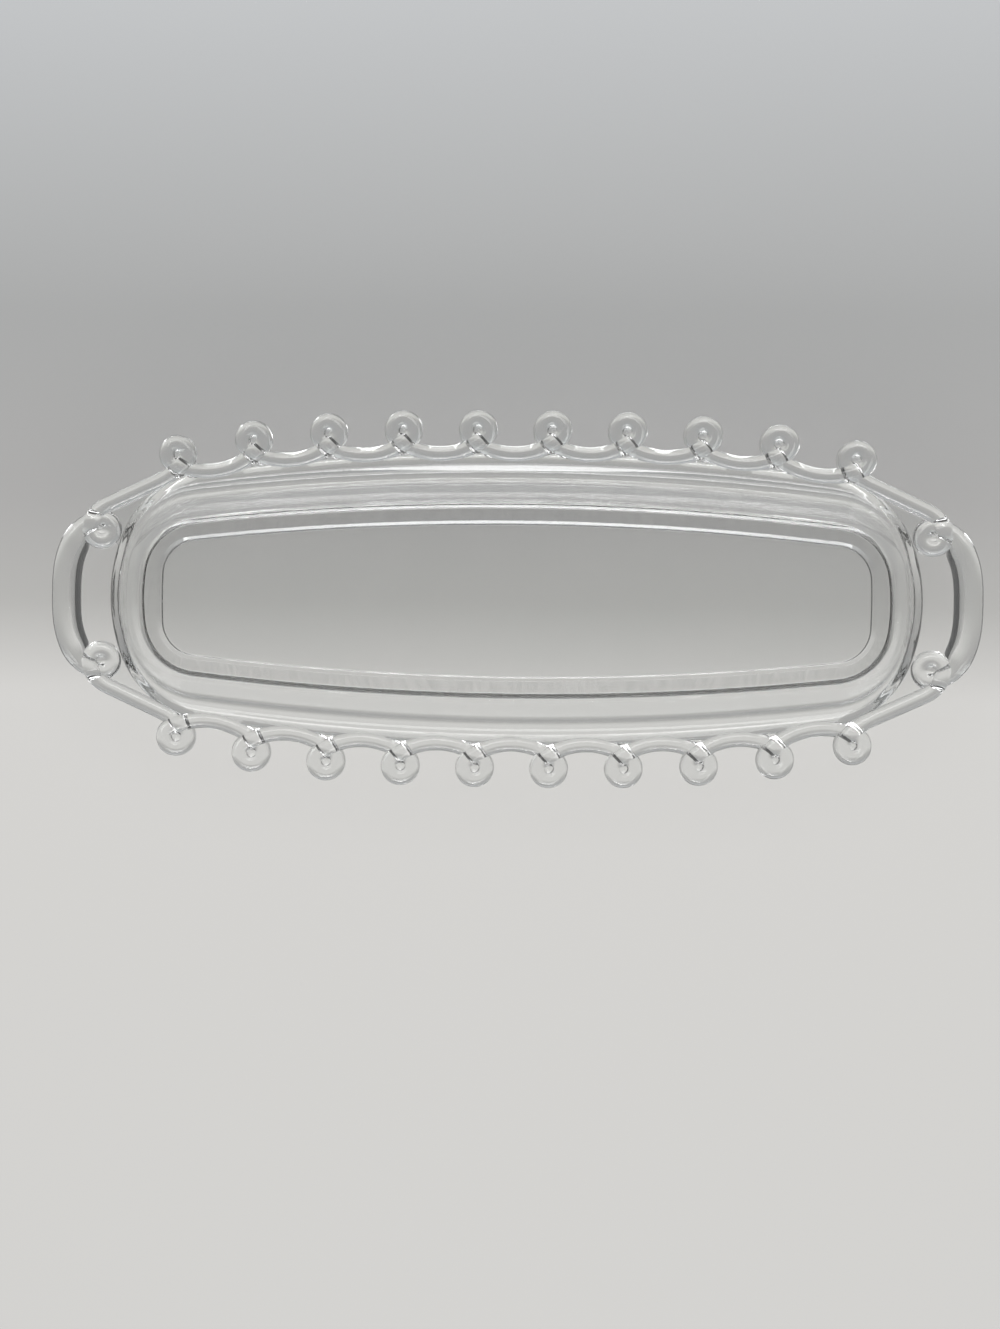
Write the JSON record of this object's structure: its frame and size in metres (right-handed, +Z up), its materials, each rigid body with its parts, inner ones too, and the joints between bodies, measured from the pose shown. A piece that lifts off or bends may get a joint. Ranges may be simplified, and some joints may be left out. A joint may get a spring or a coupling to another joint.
{
  "type": "celery tray",
  "caption": "Oblong tray of clear pressed glass, edged with a looped glass rope that bows out into a handle at each end.",
  "frame": {"origin": "middle of the foot ring, on the surface the tray stands on", "axes": "+X along the tray from handle to handle, +Y across it, +Z up out of the dish"},
  "size_m": [0.33, 0.1336, 0.0275],
  "materials": {
    "clear_glass": "fire-polished clear pressed glass"
  },
  "bodies": {
    "root": {"dish": "clear_glass", "foot_ring": "clear_glass", "handle_left": "clear_glass", "handle_right": "clear_glass", "loop_back_01": "clear_glass", "loop_back_02": "clear_glass", "loop_back_03": "clear_glass", "loop_back_04": "clear_glass", "loop_back_05": "clear_glass", "loop_back_06": "clear_glass", "loop_back_07": "clear_glass", "loop_back_08": "clear_glass", "loop_back_09": "clear_glass", "loop_back_10": "clear_glass", "rope_back_01": "clear_glass", "rope_back_02": "clear_glass", "rope_back_03": "clear_glass", "rope_back_04": "clear_glass", "rope_back_05": "clear_glass", "rope_back_06": "clear_glass", "rope_back_07": "clear_glass", "rope_back_08": "clear_glass", "rope_back_09": "clear_glass", "corner_loop_back_left": "clear_glass", "corner_rod_back_left": "clear_glass", "corner_loop_back_right": "clear_glass", "corner_rod_back_right": "clear_glass", "loop_front_01": "clear_glass", "loop_front_02": "clear_glass", "loop_front_03": "clear_glass", "loop_front_04": "clear_glass", "loop_front_05": "clear_glass", "loop_front_06": "clear_glass", "loop_front_07": "clear_glass", "loop_front_08": "clear_glass", "loop_front_09": "clear_glass", "loop_front_10": "clear_glass", "rope_front_01": "clear_glass", "rope_front_02": "clear_glass", "rope_front_03": "clear_glass", "rope_front_04": "clear_glass", "rope_front_05": "clear_glass", "rope_front_06": "clear_glass", "rope_front_07": "clear_glass", "rope_front_08": "clear_glass", "rope_front_09": "clear_glass", "corner_loop_front_left": "clear_glass", "corner_rod_front_left": "clear_glass", "corner_loop_front_right": "clear_glass", "corner_rod_front_right": "clear_glass"}
  },
  "joints": []
}
